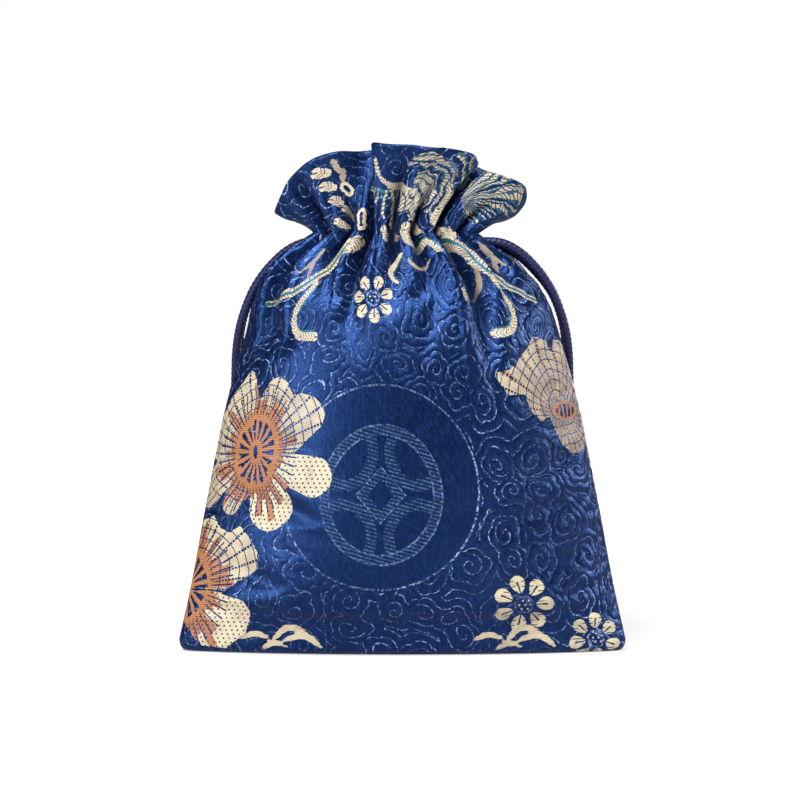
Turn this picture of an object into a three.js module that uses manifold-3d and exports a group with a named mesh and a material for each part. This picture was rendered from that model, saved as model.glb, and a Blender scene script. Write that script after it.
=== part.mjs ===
// Herbal sachet: a filled brocade pouch drawn shut at the neck by two braided drawstrings.
// Millimetres, +Z up, the front faces -Y, and the origin is the middle of the base.
import * as THREE from "three";
import { LoftGeometry } from "three/addons/geometries/LoftGeometry.js";
import { mergeVertices } from "three/addons/utils/BufferGeometryUtils.js";
import Module from "manifold-3d";

// The filled body.
const baseWidth = 111.8; // across the bottom corners
const cornerHeight = 2.8; // the corners stand this far above the seat
const cornerTuck = 1.9; // the seat is this much narrower at each end
const seatDepth = 24;
const bodyDepth = 41.4; // at the fullest part of the filling
const shoulderHeight = 88;
const shoulderWidth = 73.4;

// The drawn neck and the frill above it.
const neckHeight = 104.4;
const neckWidth = 36.4;
const neckDepth = 18.4;
const neckShift = -1.8; // the neck is drawn a little to the left
const pleatDepth = 6.4; // crest to valley of a full pleat at the neck
const frillHeight = 21.6; // neck to the rim in the middle
const rimWidth = 62;
const rimDepth = 28;
const hemThickness = 1.2; // the turned hem of the frill
const slitWidth = 22; // where the funnel of the frill closes
const slitRise = 6.4; // above the neck line

// The drawstrings and the casing they run in.
const cordDiameter = 2.2;
const cordClearance = 0.3; // all round a cord in its casing
const cordSides = 8;
const casingPitch = cordDiameter + cordClearance; // one cord runs above the other
const casingRun = 3.2; // between the front and the back run of one cord
const casingDrop = 0.9; // the casing lies below the neck line
const knotWidth = 5;
const knotHeight = 6.2;

const roundSteps = 128; // points round the pouch

// The rim as shares of half its width, half its depth and the frill's height.
// It starts at the right tip and goes round by the back.
const rimShape = [
  [0.9, 0, 0.19],
  [0.97, 0.24, 0.39],
  [0.92, 0.49, 0.55],
  [0.76, 0.6, 0.68],
  [0.6, 0.47, 0.76],
  [0.47, 0.69, 0.88],
  [0.29, 0.94, 0.95],
  [0.08, 0.89, 0.97],
  [-0.06, 0.61, 0.97],
  [-0.23, 0.64, 0.94],
  [-0.39, 0.9, 0.92],
  [-0.58, 0.87, 0.86],
  [-0.74, 0.6, 0.81],
  [-0.89, 0.46, 0.63],
  [-0.98, 0.23, 0.4],
  [-1.03, 0, 0.23],
  [-0.97, -0.21, 0.44],
  [-0.89, -0.4, 0.63],
  [-0.74, -0.54, 0.82],
  [-0.53, -0.62, 0.92],
  [-0.33, -0.44, 0.93],
  [-0.18, -0.46, 0.97],
  [-0.25, -0.8, 1.02],
  [-0.1, -1, 1],
  [0.13, -1.09, 0.97],
  [0.35, -1.04, 0.95],
  [0.55, -0.9, 0.89],
  [0.6, -0.67, 0.8],
  [0.55, -0.47, 0.73],
  [0.69, -0.46, 0.69],
  [0.84, -0.5, 0.63],
  [0.98, -0.37, 0.52],
  [0.99, -0.17, 0.35],
];
const leftTip = 15;

// The pleats of each panel from one side seam to the other: share of the panel's width,
// share of pleatDepth, and how far they reach below and above the neck.
const frontPleats = [
  [0.11, 0.8, 9, 8],
  [0.13, 1, 26, 16],
  [0.12, 0.8, 9, 7],
  [0.13, 1.15, 17, 10],
  [0.11, 0.9, 10, 13],
  [0.13, 0.9, 12, 8],
  [0.13, 1.15, 30, 15],
  [0.14, 0.9, 12, 8],
];
const backPleats = [
  [0.13, 0.8, 10, 9],
  [0.11, 1, 20, 10],
  [0.14, 0.8, 9, 14],
  [0.12, 1.1, 24, 8],
  [0.11, 0.9, 9, 10],
  [0.14, 0.9, 14, 12],
  [0.12, 1.1, 27, 9],
  [0.13, 0.9, 11, 8],
];

// The two strands that leave the neck on the right, from the casing to the tip.
// The left pair is their mirror image.
const frontStrand = [
  [24.3, -1.8, 102.1],
  [28.6, -1.6, 100.2],
  [33.4, -1.2, 95.8],
  [37.1, -0.5, 90.5],
  [39.4, 0.8, 85.2],
  [40.9, 2.6, 80.0],
  [41.7, 4.8, 74.6],
  [42.0, 7.0, 68.6],
  [42.2, 8.8, 61.5],
  [42.5, 10.0, 51.0],
  [42.8, 10.7, 39.0],
  [43.1, 11.2, 28.0],
  [43.3, 11.6, 20.0],
  [43.3, 11.8, 14.5],
  [42.5, 11.4, 6.0],
];
const backStrand = [
  [23.9, 1.8, 101.6],
  [28.3, 2.4, 99.3],
  [33.2, 2.9, 94.9],
  [37.3, 3.5, 89.6],
  [39.5, 4.7, 84.4],
  [40.7, 6.5, 79.2],
  [41.0, 8.6, 73.8],
  [40.8, 10.6, 67.8],
  [41.0, 12.1, 60.8],
  [41.4, 13.2, 51.0],
  [41.9, 13.8, 39.0],
  [42.5, 14.1, 28.0],
  [43.2, 13.9, 20.0],
  [43.8, 13.3, 14.5],
  [44.8, 13.5, 5.4],
];

const wasm = await Module();
wasm.setup();

function solidFrom(geometry) {
  const bare = new THREE.BufferGeometry();
  bare.setAttribute("position", geometry.getAttribute("position"));
  bare.setIndex(geometry.index);
  const merged = mergeVertices(bare, 1e-3);
  const mesh = new wasm.Mesh({
    numProp: 3,
    vertProperties: new Float32Array(merged.getAttribute("position").array),
    triVerts: new Uint32Array(merged.index.array),
  });
  return new wasm.Manifold(mesh);
}

function geometryFrom(solid) {
  const mesh = solid.getMesh();
  const geometry = new THREE.BufferGeometry();
  geometry.setAttribute("position", new THREE.BufferAttribute(mesh.vertProperties, 3));
  geometry.setIndex(new THREE.BufferAttribute(mesh.triVerts, 1));
  geometry.computeVertexNormals();
  return geometry;
}

// Width, depth and height of the cloth from the seat to the neck, as half sizes.
const bodySpan = shoulderHeight - cornerHeight;
const bodyWidthAt = (share) => THREE.MathUtils.lerp(baseWidth, shoulderWidth, share) / 2;
const profile = new THREE.CatmullRomCurve3(
  [
    new THREE.Vector3(baseWidth / 2 - cornerTuck, seatDepth / 2, 0),
    new THREE.Vector3(baseWidth / 2, seatDepth / 2 + 2.4, cornerHeight),
    new THREE.Vector3(bodyWidthAt(0.13), bodyDepth * 0.455, cornerHeight + bodySpan * 0.13),
    new THREE.Vector3(bodyWidthAt(0.4) + 0.7, bodyDepth * 0.5, cornerHeight + bodySpan * 0.4),
    new THREE.Vector3(bodyWidthAt(0.68) + 1.2, bodyDepth * 0.485, cornerHeight + bodySpan * 0.68),
    new THREE.Vector3(bodyWidthAt(0.9) + 0.5, bodyDepth * 0.435, cornerHeight + bodySpan * 0.9),
    new THREE.Vector3(shoulderWidth / 2, bodyDepth * 0.4, shoulderHeight),
    new THREE.Vector3(
      THREE.MathUtils.lerp(shoulderWidth, neckWidth, 0.4) / 2,
      THREE.MathUtils.lerp(bodyDepth * 0.8, neckDepth, 0.45) / 2,
      THREE.MathUtils.lerp(shoulderHeight, neckHeight, 0.56),
    ),
    new THREE.Vector3(
      THREE.MathUtils.lerp(shoulderWidth, neckWidth, 0.8) / 2,
      THREE.MathUtils.lerp(bodyDepth * 0.8, neckDepth, 0.82) / 2,
      THREE.MathUtils.lerp(shoulderHeight, neckHeight, 0.83),
    ),
    new THREE.Vector3(neckWidth / 2, neckDepth / 2, neckHeight),
  ],
  false,
  "centripetal",
);

// One level of the smooth body, its points evenly spaced along the cloth from the right seam by the back.
function bodyRing(station) {
  const rise = station.z / neckHeight;
  const corner = 1 + 0.55 * (1 - THREE.MathUtils.smoothstep(rise, 0, 0.75)); // pointed at the side seams
  const arc = [];
  for (let i = 0; i <= 24; i += 1) {
    const angle = (i / 24) * Math.PI;
    arc.push(new THREE.Vector2(station.x * Math.cos(angle), station.y * Math.sin(angle) ** corner));
  }
  const half = new THREE.SplineCurve(arc).getSpacedPoints(roundSteps / 2).slice(0, -1);
  const shift = neckShift * THREE.MathUtils.smoothstep(rise, 0.75, 1);
  const back = half.map(({ x, y }) => new THREE.Vector3(shift + x, y, station.z));
  const front = half.map(({ x, y }) => new THREE.Vector3(shift - x, -y, station.z));
  return [...back, ...front];
}

const rimCurve = new THREE.CatmullRomCurve3(
  rimShape.map(
    ([across, along, up]) =>
      new THREE.Vector3((across * rimWidth) / 2, (along * rimDepth) / 2, neckHeight + up * frillHeight),
  ),
  true,
  "centripetal",
);

// The frill rises from the neck and turns outwards to the rim, almost straight at the two sides.
function frillPoint(neck, i, share) {
  const turn = (2 * i) / roundSteps;
  const tip = leftTip / rimShape.length;
  const rim = rimCurve.getPoint(turn < 1 ? turn * tip : tip + (turn - 1) * (1 - tip));
  const middle = Math.abs(Math.sin(turn * Math.PI));
  const out = THREE.MathUtils.lerp(0.62, 0.22, middle);
  const bend = new THREE.Vector3(
    THREE.MathUtils.lerp(neck.x, rim.x, out),
    THREE.MathUtils.lerp(neck.y, rim.y, out),
    THREE.MathUtils.lerp(neck.z, rim.z, THREE.MathUtils.lerp(0.34, 0.62, middle)),
  );
  return new THREE.QuadraticBezierCurve3(neck, bend, rim).getPoint(share);
}

// The pleat that a point of the ring belongs to: 0 and 1 are its valleys, 0.5 its crest.
function pleatAt(i) {
  const turn = (2 * i) / roundSteps;
  const pleats = turn < 1 ? backPleats : frontPleats;
  let rest = (turn % 1) * pleats.reduce((sum, [share]) => sum + share, 0);
  let k = 0;
  while (k < pleats.length - 1 && rest >= pleats[k][0]) {
    rest -= pleats[k][0];
    k += 1;
  }
  const place = rest / pleats[k][0];
  const [, depth, down, up] = pleats[place < 0.5 ? k : (k + 1) % pleats.length];
  return { place, depth, down, up };
}

const roundways = (rows, r, i) =>
  rows[r][(i + 1) % roundSteps].clone().sub(rows[r][(i + roundSteps - 1) % roundSteps]);
const upways = (rows, r, i) =>
  rows[Math.min(r + 1, rows.length - 1)][i].clone().sub(rows[Math.max(r - 1, 0)][i]);
const outward = (rows, r, i) => roundways(rows, r, i).cross(upways(rows, r, i)).normalize();

// Presses the pleats of the drawn casing into the smooth cloth.
function gather(rows, neckRow) {
  const runs = [0];
  for (let r = 1; r < rows.length; r += 1) {
    const rise = rows[r].reduce((sum, point, i) => sum + point.distanceTo(rows[r - 1][i]), 0);
    runs.push(runs[r - 1] + rise / roundSteps);
  }
  return rows.map((row, r) =>
    row.map((point, i) => {
      const { place, depth, down, up } = pleatAt(i);
      const above = runs[r] - runs[neckRow];
      const fade = Math.exp(-((above / (above < 0 ? down : up)) ** 2));
      const valley = (0.5 + 0.5 * Math.cos(2 * Math.PI * place)) ** 2;
      const press = pleatDepth * depth * fade * (0.28 - valley);
      return point.clone().addScaledVector(outward(rows, r, i), press);
    }),
  );
}

function pouchSolid() {
  const bodyRows = 28;
  const smooth = [];
  for (let i = 0; i <= bodyRows; i += 1) {
    smooth.push(bodyRing(profile.getPoint(i / bodyRows)));
  }
  for (const share of [0.1, 0.22, 0.36, 0.5, 0.65, 0.82, 1]) {
    smooth.push(smooth[bodyRows].map((neck, i) => frillPoint(neck, i, share)));
  }
  const cloth = gather(smooth, bodyRows);
  const last = cloth.length - 1;
  const hem = [last, last - 1].map((r) =>
    cloth[r].map((point, i) => point.clone().addScaledVector(outward(cloth, r, i), -hemThickness)),
  );
  const slit = cloth[0].map((_, i) => {
    const across = neckShift + (slitWidth / 2) * Math.cos((i / roundSteps) * 2 * Math.PI);
    return new THREE.Vector3(across, 0, neckHeight + slitRise);
  });
  return solidFrom(new LoftGeometry([...cloth, ...hem, slit], { capStart: true }));
}

// One cord: up a strand, once round inside the casing, and down the other strand.
function cordRoute(side) {
  const height = neckHeight - casingDrop - (side * casingPitch) / 2;
  const exit = neckWidth / 2 + side * neckShift;
  const far = neckWidth / 2 - side * neckShift - 6.4;
  const half = casingRun / 2;
  const inside = [
    [exit - 0.4, -half, neckHeight - casingDrop - casingPitch / 2],
    [exit - 4.4, -half, height],
    [exit / 2, -half, height],
    [0, -half, height],
    [-far / 2, -half, height],
    [-far, -half, height],
    [-far - half, 0, height],
    [-far, half, height],
    [-far / 2, half, height],
    [0, half, height],
    [exit / 2, half, height],
    [exit - 4.4, half, height],
    [exit - 0.4, half, neckHeight - casingDrop - casingPitch / 2],
  ];
  const points = [...frontStrand.toReversed(), ...inside, ...backStrand];
  return points.map(([x, y, z]) => new THREE.Vector3(side * x, y, z));
}

function tube(points, diameter, steps) {
  const section = new THREE.Shape();
  section.absarc(0, 0, diameter / 2, 0, 2 * Math.PI, false);
  const geometry = new THREE.ExtrudeGeometry(section, {
    curveSegments: cordSides / 2,
    steps,
    bevelEnabled: false,
    extrudePath: new THREE.CatmullRomCurve3(points, false, "centripetal"),
  });
  return solidFrom(geometry);
}

const routes = new Map([
  ["left_drawstring", cordRoute(-1)],
  ["right_drawstring", cordRoute(1)],
]);

function drawstringSolid(points) {
  const cord = tube(points, cordDiameter, 90);
  const knotAt = points[1].clone().add(points[points.length - 2]).multiplyScalar(0.5);
  const knot = new THREE.SphereGeometry(0.5, 14, 10);
  knot.scale(knotWidth, knotWidth, knotHeight);
  knot.translate(knotAt.x, knotAt.y, knotAt.z);
  return cord.add(solidFrom(knot));
}

let pouch = pouchSolid();
for (const points of routes.values()) {
  pouch = pouch.subtract(tube(points, cordDiameter + 2 * cordClearance, 90));
}

const object = new THREE.Group();
object.name = "herbal_sachet";

function place(name, solid, color, roughness) {
  const material = new THREE.MeshStandardMaterial({ color, roughness, metalness: 0 });
  material.name = `${name}_material`;
  const mesh = new THREE.Mesh(geometryFrom(solid), material);
  mesh.name = name;
  object.add(mesh);
}

place("pouch", pouch, 0x263f76, 0.5);
for (const [name, points] of routes) {
  place(name, drawstringSolid(points), 0x2f3261, 0.7);
}

export default object;
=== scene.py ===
import math
from functools import partial

import bpy
import numpy as np
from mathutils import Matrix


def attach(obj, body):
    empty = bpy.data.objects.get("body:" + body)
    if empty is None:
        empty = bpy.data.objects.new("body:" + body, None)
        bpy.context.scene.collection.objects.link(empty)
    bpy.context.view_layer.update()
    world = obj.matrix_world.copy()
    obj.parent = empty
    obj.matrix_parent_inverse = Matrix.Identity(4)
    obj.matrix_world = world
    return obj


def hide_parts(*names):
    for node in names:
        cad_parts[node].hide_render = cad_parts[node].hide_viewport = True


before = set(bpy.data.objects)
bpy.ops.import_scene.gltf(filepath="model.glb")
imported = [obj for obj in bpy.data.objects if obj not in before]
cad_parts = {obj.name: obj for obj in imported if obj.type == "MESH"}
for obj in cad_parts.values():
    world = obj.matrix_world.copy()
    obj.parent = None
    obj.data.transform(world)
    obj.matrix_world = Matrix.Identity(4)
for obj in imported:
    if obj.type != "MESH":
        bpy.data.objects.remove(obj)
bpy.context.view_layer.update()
bpy.ops.object.select_all(action="DESELECT")

mm = 0.001

pouchLook = {  # millimetres unless said
    "girth": 224.0,  # cloth round the bag
    "roundSteps": 400,
    "halfWidths": [(2.8, 55.9), (14, 53.4), (38, 48.9), (61, 44.2), (79.5, 39.1), (88, 36.6),
                   (93.5, 33.6), (97.4, 29.5), (101.6, 22.8), (104.4, 18)],  # height, half width
    "halfDepths": [(2.8, 14.4), (14, 17.3), (38, 19), (61, 18.5), (79.5, 16.6), (88, 15.2),
                   (97.4, 12.4), (101.6, 10.2), (104.4, 9)],
    "cornerHeight": 2.8,
    "cornerTuck": 1.9,  # how far the bottom fold draws in at its corners
    "seatTuck": 2.4,  # and at the front and the back
    "seatShares": [0.0, 0.3, 0.6, 0.85, 0.96],  # rows under the bag, shares of its depth
    "seamPoint": 0.55,  # how pointed the side seams are at the bottom
    "neckHeight": 104.4,
    "neckShift": -1.8,
    "frillHeight": 21.6,
    "rimHalfWidth": 31.0,
    "rimHalfDepth": 14.0,
    "flareOut": (0.62, 0.22),  # how soon the frill leans out, at a seam and half-way
    "flareUp": (0.34, 0.62),  # and how soon it rises
    "frillRows": 40,
    "hem": 0.9,
    "slitHalfWidth": 11.0,
    "slitRise": 6.4,
    "slitRows": 13,  # rows above the neck where the inside turns to the slit
    "pleatDepth": 6.4,
    "crimpDepth": 1.2,  # small gathers between the pleats
}
rimShape = [  # shares of the rim's half width and half depth and of the frill's height, right tip, back, left
    (0.9, 0, 0.19), (0.97, 0.24, 0.39), (0.92, 0.49, 0.55), (0.76, 0.6, 0.68), (0.6, 0.47, 0.76),
    (0.47, 0.69, 0.88), (0.29, 0.94, 0.95), (0.08, 0.89, 0.97), (-0.06, 0.61, 0.97), (-0.23, 0.64, 0.94),
    (-0.39, 0.9, 0.92), (-0.58, 0.87, 0.86), (-0.74, 0.6, 0.81), (-0.89, 0.46, 0.63), (-0.98, 0.23, 0.4),
    (-1.03, 0, 0.23), (-0.97, -0.21, 0.44), (-0.89, -0.4, 0.63), (-0.74, -0.54, 0.82), (-0.53, -0.62, 0.92),
    (-0.33, -0.44, 0.93), (-0.18, -0.46, 0.97), (-0.25, -0.8, 1.02), (-0.1, -1, 1), (0.13, -1.09, 0.97),
    (0.35, -1.04, 0.95), (0.55, -0.9, 0.89), (0.6, -0.67, 0.8), (0.55, -0.47, 0.73), (0.69, -0.46, 0.69),
    (0.84, -0.5, 0.63), (0.98, -0.37, 0.52), (0.99, -0.17, 0.35),
]
leftTip = 15  # the rim point at the left seam
frontPleats = [  # share of the panel's width, depth share, reach down and up in mm, from the left seam
    (0.11, 0.8, 9, 8), (0.13, 1.0, 26, 16), (0.12, 0.8, 9, 7), (0.13, 1.15, 17, 10), (0.11, 0.9, 10, 13),
    (0.13, 0.9, 12, 8), (0.13, 1.15, 30, 15), (0.14, 0.9, 12, 8),
]
backPleats = [
    (0.13, 0.8, 10, 9), (0.11, 1.0, 20, 10), (0.14, 0.8, 9, 14), (0.12, 1.1, 24, 8), (0.11, 0.9, 9, 10),
    (0.14, 0.9, 14, 12), (0.12, 1.1, 27, 9), (0.13, 0.9, 11, 8),
]


def smoothStep(low, high, value):
    share = np.clip((value - low) / (high - low), 0, 1)
    return share * share * (3 - 2 * share)


def smoothThrough(value, knots):  # a smooth line through (place, size) pairs
    places = np.array([k[0] for k in knots], float)
    sizes = np.array([k[1] for k in knots], float)
    slopes = np.gradient(sizes, places)
    i = np.clip(np.searchsorted(places, value) - 1, 0, len(places) - 2)
    span = places[i + 1] - places[i]
    f = (value - places[i]) / span
    return ((2 * f**3 - 3 * f**2 + 1) * sizes[i] + (f**3 - 2 * f**2 + f) * span * slopes[i]
            + (3 * f**2 - 2 * f**3) * sizes[i + 1] + (f**3 - f**2) * span * slopes[i + 1])


def closedCurve(points, share):  # a smooth closed line through points, share from 0 to 1
    points = np.array(points, float)
    count = len(points)
    place = np.mod(share, 1) * count
    i = np.floor(place).astype(int)
    f = (place - i)[:, None]
    a, b, c, d = (points[(i + k) % count] for k in (-1, 0, 1, 2))
    return 0.5 * (2 * b + (c - a) * f + (2 * a - 5 * b + 4 * c - d) * f**2 + (3 * b - a - 3 * c + d) * f**3)


def sectionRing(halfWidth, halfDepth, corner, height, steps):  # evenly spaced along the cloth
    angle = np.linspace(0, math.pi, 721)
    x = halfWidth * np.cos(angle)
    y = halfDepth * np.sin(angle).clip(0) ** corner
    run = np.concatenate([[0], np.cumsum(np.hypot(np.diff(x), np.diff(y)))])
    share = np.linspace(0, 1, steps // 2 + 1)
    back = np.stack([np.interp(share * run[-1], run, x), np.interp(share * run[-1], run, y)], 1)
    front = np.stack([-back[:, 0], -back[:, 1]], 1)
    ring = np.concatenate([back[:-1], front[:-1]])
    return np.column_stack([ring, np.full(len(ring), height)])


def bodyRing(height, look):
    under = max(0.0, (look["cornerHeight"] - height) / look["cornerHeight"])
    tuck = 1 - math.sqrt(max(0.0, 1 - under * under))
    tall = max(height, look["cornerHeight"])
    halfWidth = float(smoothThrough(np.array(tall), look["halfWidths"])) - look["cornerTuck"] * tuck
    halfDepth = float(smoothThrough(np.array(tall), look["halfDepths"])) - look["seatTuck"] * tuck
    rise = height / look["neckHeight"]
    corner = 1 + look["seamPoint"] * (1 - float(smoothStep(0, 0.75, rise)))
    ring = sectionRing(halfWidth, halfDepth, corner, height, look["roundSteps"])
    ring[:, 0] += look["neckShift"] * float(smoothStep(0.75, 1, rise))
    return ring


def pleatFields(look):  # for each point round the bag: place within its pleat, depth, reach down and up
    steps = look["roundSteps"]
    share = np.arange(steps) / steps
    place, depth, down, up = (np.zeros(steps) for _ in range(4))
    for panel, pleats in ((0, backPleats), (1, frontPleats)):
        edges = np.concatenate([[0], np.cumsum([p[0] for p in pleats])])
        edges = edges / edges[-1]
        inside = (share >= panel / 2) & (share < panel / 2 + 0.5)
        local = (share[inside] - panel / 2) * 2
        i = np.clip(np.searchsorted(edges, local, side="right") - 1, 0, len(pleats) - 1)
        f = (local - edges[i]) / (edges[i + 1] - edges[i])  # valleys lie between pleats, crests in the middle
        place[inside] = f
        sideways = np.where(f < 0.5, i, (i + 1) % len(pleats))
        values = np.array(pleats)
        depth[inside] = values[sideways, 1]
        down[inside] = values[sideways, 2]
        up[inside] = values[sideways, 3]
    return place, depth, down, up


def pouchGrid(look):
    neck = look["neckHeight"]
    heights = [0.0, 0.12, 0.45, 1.0, 1.8, 2.8]
    while heights[-1] < neck - 0.02:
        here = heights[-1]
        low, high = (float(smoothThrough(np.array(z), look["halfWidths"])) for z in (here, here + 0.3))
        slope = (low - high) / 0.3
        heights.append(min(neck, here + 0.8 / math.sqrt(1 + 0.6 * slope**2)))  # closer where it narrows
    rows = [bodyRing(h, look) for h in heights]
    foot = len(rows) - 1
    steps = look["roundSteps"]
    turn = np.arange(steps) / steps * 2
    tip = leftTip / len(rimShape)
    share = np.where(turn < 1, turn * tip, tip + (turn - 1) * (1 - tip))
    scale = np.array([look["rimHalfWidth"], look["rimHalfDepth"], look["frillHeight"]])
    rim = closedCurve(np.array(rimShape) * scale, share) + np.array([0, 0, neck])
    middle = np.abs(np.sin(turn * math.pi))
    (seamOut, middleOut), (seamUp, middleUp) = look["flareOut"], look["flareUp"]
    out = (seamOut + (middleOut - seamOut) * middle)[:, None]
    up = seamUp + (middleUp - seamUp) * middle
    base = rows[-1]
    bend = base + (rim - base) * out
    bend[:, 2] = base[:, 2] + (rim[:, 2] - base[:, 2]) * up
    for f in np.linspace(0, 1, look["frillRows"] + 1)[1:]:
        rows.append((1 - f) ** 2 * base + 2 * f * (1 - f) * bend + f * f * rim)
    return np.array(rows), foot


def gridNormals(grid):
    roundways = np.roll(grid, -1, 1) - np.roll(grid, 1, 1)
    upways = np.gradient(grid, axis=0)
    normal = np.cross(roundways, upways)
    return (normal / np.linalg.norm(normal, axis=2, keepdims=True),
            roundways / np.linalg.norm(roundways, axis=2, keepdims=True))


def gather(grid, foot, look):  # presses the pleats of the drawn casing into the smooth cloth
    place, depth, down, up = pleatFields(look)
    run = np.concatenate([[0], np.cumsum(np.linalg.norm(np.diff(grid, axis=0), axis=2).mean(1))])
    height = (run - run[foot])[:, None]
    reach = np.where(height < 0, down, up)
    fade = np.exp(-((height / reach) ** 2))
    valley = (0.5 + 0.5 * np.cos(2 * math.pi * place)) ** 2
    press = look["pleatDepth"] * depth * fade * (0.28 - valley)
    fine = np.arange(look["roundSteps"]) / look["roundSteps"] * 2 * math.pi
    crease = (0.5 + 0.5 * np.cos(41 * fine + 2.2 * np.sin(7 * fine))) ** 2.5  # broad crests, narrow creases
    crimp = (0.3 - crease) * (0.65 + 0.35 * np.sin(11 * fine + 1))
    crimp = crimp + 0.15 * np.cos(71 * fine + 3 * np.sin(5 * fine))
    press = press + look["crimpDepth"] * crimp * np.exp(-((height / np.where(height < 0, 6.0, 5.0)) ** 2))
    normal, roundways = gridNormals(grid)
    pitch = np.linalg.norm(np.roll(grid, -1, 1) - grid, axis=2) * look["roundSteps"]
    pitch = pitch / (len(frontPleats) + len(backPleats))
    slide = -0.09 * pitch * fade * np.sin(2 * math.pi * place) * depth
    return grid + normal * press[:, :, None] + roundways * slide[:, :, None], run, fade * valley * depth


clothLook = {  # the cloth between the seat and the drawn casing, left to wrinkle on its filling
    "frames": 24,
    "slack": 0.016,  # the cloth is this much larger than the smooth bag
    "sag": 0.1,  # share of gravity, the filling carries the rest
    "push": 1.2,  # of the filling
    "bending": 1.2,
    "reach": 2.2,  # the most that a point may move, millimetres
    "heldSeat": (2, 14),  # where the hold fades, from the bottom fold
    "heldNeck": (9, 3),  # below the neck
    "heldSeam": (0.01, 0.16),  # from a side seam, shares of half a panel
    "every": 2,  # one grid line in so many takes part
    "frillRows": 17,  # rows above the neck that take part
    "scale": 0.01,  # metres per millimetre, ten times full size
}


def gridFaces(index):  # the four corners of each face of a grid that closes round
    ahead = np.roll(index, -1, 1)
    return np.stack([index[:-1], ahead[:-1], ahead[1:], index[1:]], 2).reshape(-1, 4)


def settle(outer, run, foot, soft):  # a Cloth simulation of some grid lines, spread over the full grid
    skip = soft["every"]
    top = foot + soft["frillRows"]
    coarse = outer[:top:skip, ::skip]
    rows, columns = coarse.shape[:2]
    index = np.arange(rows * columns).reshape(rows, columns)
    mesh = bpy.data.meshes.new("clothTrial")
    mesh.from_pydata((coarse.reshape(-1, 3) * soft["scale"]).tolist(), [], gridFaces(index).tolist())
    trial = bpy.data.objects.new("clothTrial", mesh)
    bpy.context.collection.objects.link(trial)
    level = run[:top:skip]
    fromNeck, toNeck = (run[foot] - gap for gap in soft["heldNeck"])
    hold = np.maximum(1 - smoothStep(*soft["heldSeat"], level), smoothStep(fromNeck, toNeck, level))
    seam = np.abs(np.mod(np.arange(columns) / columns * 2 + 0.5, 1) - 0.5) * 2  # 0 at a seam, 1 half-way
    hold = np.maximum(hold[:, None], 1 - smoothStep(*soft["heldSeam"], seam)[None])
    group = trial.vertex_groups.new(name="held")
    for number, weight in enumerate(hold.ravel()):
        if weight > 0.01:
            group.add([number], float(weight), "REPLACE")
    cloth = trial.modifiers.new("cloth", "CLOTH")
    settings = cloth.settings
    settings.vertex_group_mass = "held"
    settings.quality = 6
    settings.mass = 0.25
    settings.tension_stiffness = settings.compression_stiffness = 25
    settings.shear_stiffness = 12
    settings.bending_stiffness = soft["bending"]
    settings.shrink_min = -soft["slack"]
    settings.use_pressure = True
    settings.uniform_pressure_force = soft["push"]
    settings.air_damping = 4
    settings.effector_weights.gravity = soft["sag"]
    cloth.collision_settings.use_collision = False
    cloth.point_cache.frame_end = soft["frames"]
    scene = bpy.context.scene
    for number in range(1, soft["frames"] + 1):
        scene.frame_set(number)
    settled = trial.evaluated_get(bpy.context.evaluated_depsgraph_get()).to_mesh()
    found = np.zeros(rows * columns * 3)
    settled.vertices.foreach_get("co", found)
    scene.frame_set(1)
    bpy.data.objects.remove(trial)
    bpy.data.meshes.remove(mesh)
    shift = found.reshape(rows, columns, 3) / soft["scale"] - coarse
    far = np.linalg.norm(shift, axis=2, keepdims=True)
    print("cloth settled, moved up to", round(float(far.max()), 2), "mm, mean", round(float(far.mean()), 2))
    shift = shift * np.tanh(far / soft["reach"]) * soft["reach"] / np.maximum(far, 1e-6)
    places = np.arange(outer.shape[1]) / skip
    left = np.floor(places).astype(int) % columns
    part = (places - np.floor(places))[None, :, None]
    wide = shift[:, left] * (1 - part) + shift[:, (left + 1) % columns] * part
    heights = np.minimum(np.arange(outer.shape[0]) / skip, rows - 1)
    below = np.minimum(np.floor(heights).astype(int), rows - 2)
    part = (heights - below)[:, None, None]
    return outer + wide[below] * (1 - part) + wide[below + 1] * part


def pouchMesh(look):
    smooth, foot = pouchGrid(look)
    outer, run, fold = gather(smooth, foot, look)
    outer = settle(outer, run, foot, clothLook)
    normal, _ = gridNormals(outer)
    last = outer[-1] - outer[-2]
    lip = outer[-1] - 0.5 * look["hem"] * normal[-1]
    lip = lip + 0.3 * last / np.linalg.norm(last, axis=1, keepdims=True)
    inner = [outer[r] - look["hem"] * normal[r] for r in range(len(outer) - 1, foot + look["slitRows"], -2)]
    steps = look["roundSteps"]
    angle = np.arange(steps) / steps * 2 * math.pi
    slit = np.column_stack([look["neckShift"] + look["slitHalfWidth"] * np.cos(angle), np.zeros_like(angle),
                            np.full_like(angle, look["neckHeight"] + look["slitRise"])])
    inner += [inner[-1] * 0.6 + slit * 0.4, slit]
    seat = [outer[0] * np.array([1, share, 1]) for share in look["seatShares"]]
    rows = np.array(seat + list(outer) + [lip] + inner)
    count = len(rows)
    points = rows.reshape(-1, 3)
    index = np.arange(count * steps).reshape(count, steps)
    mirror = (-np.arange(steps)) % steps
    for end in (0, count - 1):  # the seat and the slit close on a line
        index[end] = index[end][np.minimum(np.arange(steps), mirror)]
    faces = gridFaces(index)
    insideFrom = len(seat) + len(outer)
    underRun = -look["halfDepths"][0][1] * (1 - np.array(look["seatShares"]))
    clothRun = np.concatenate([underRun, run, [run[-1]] * (len(inner) + 1)])
    folds = np.zeros((count, steps))  # how deep a point lies in a pleat, which sets the painted shade of the brocade
    folds[len(seat):insideFrom] = fold
    return points, faces, steps, insideFrom, clothRun, folds.ravel()


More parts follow.
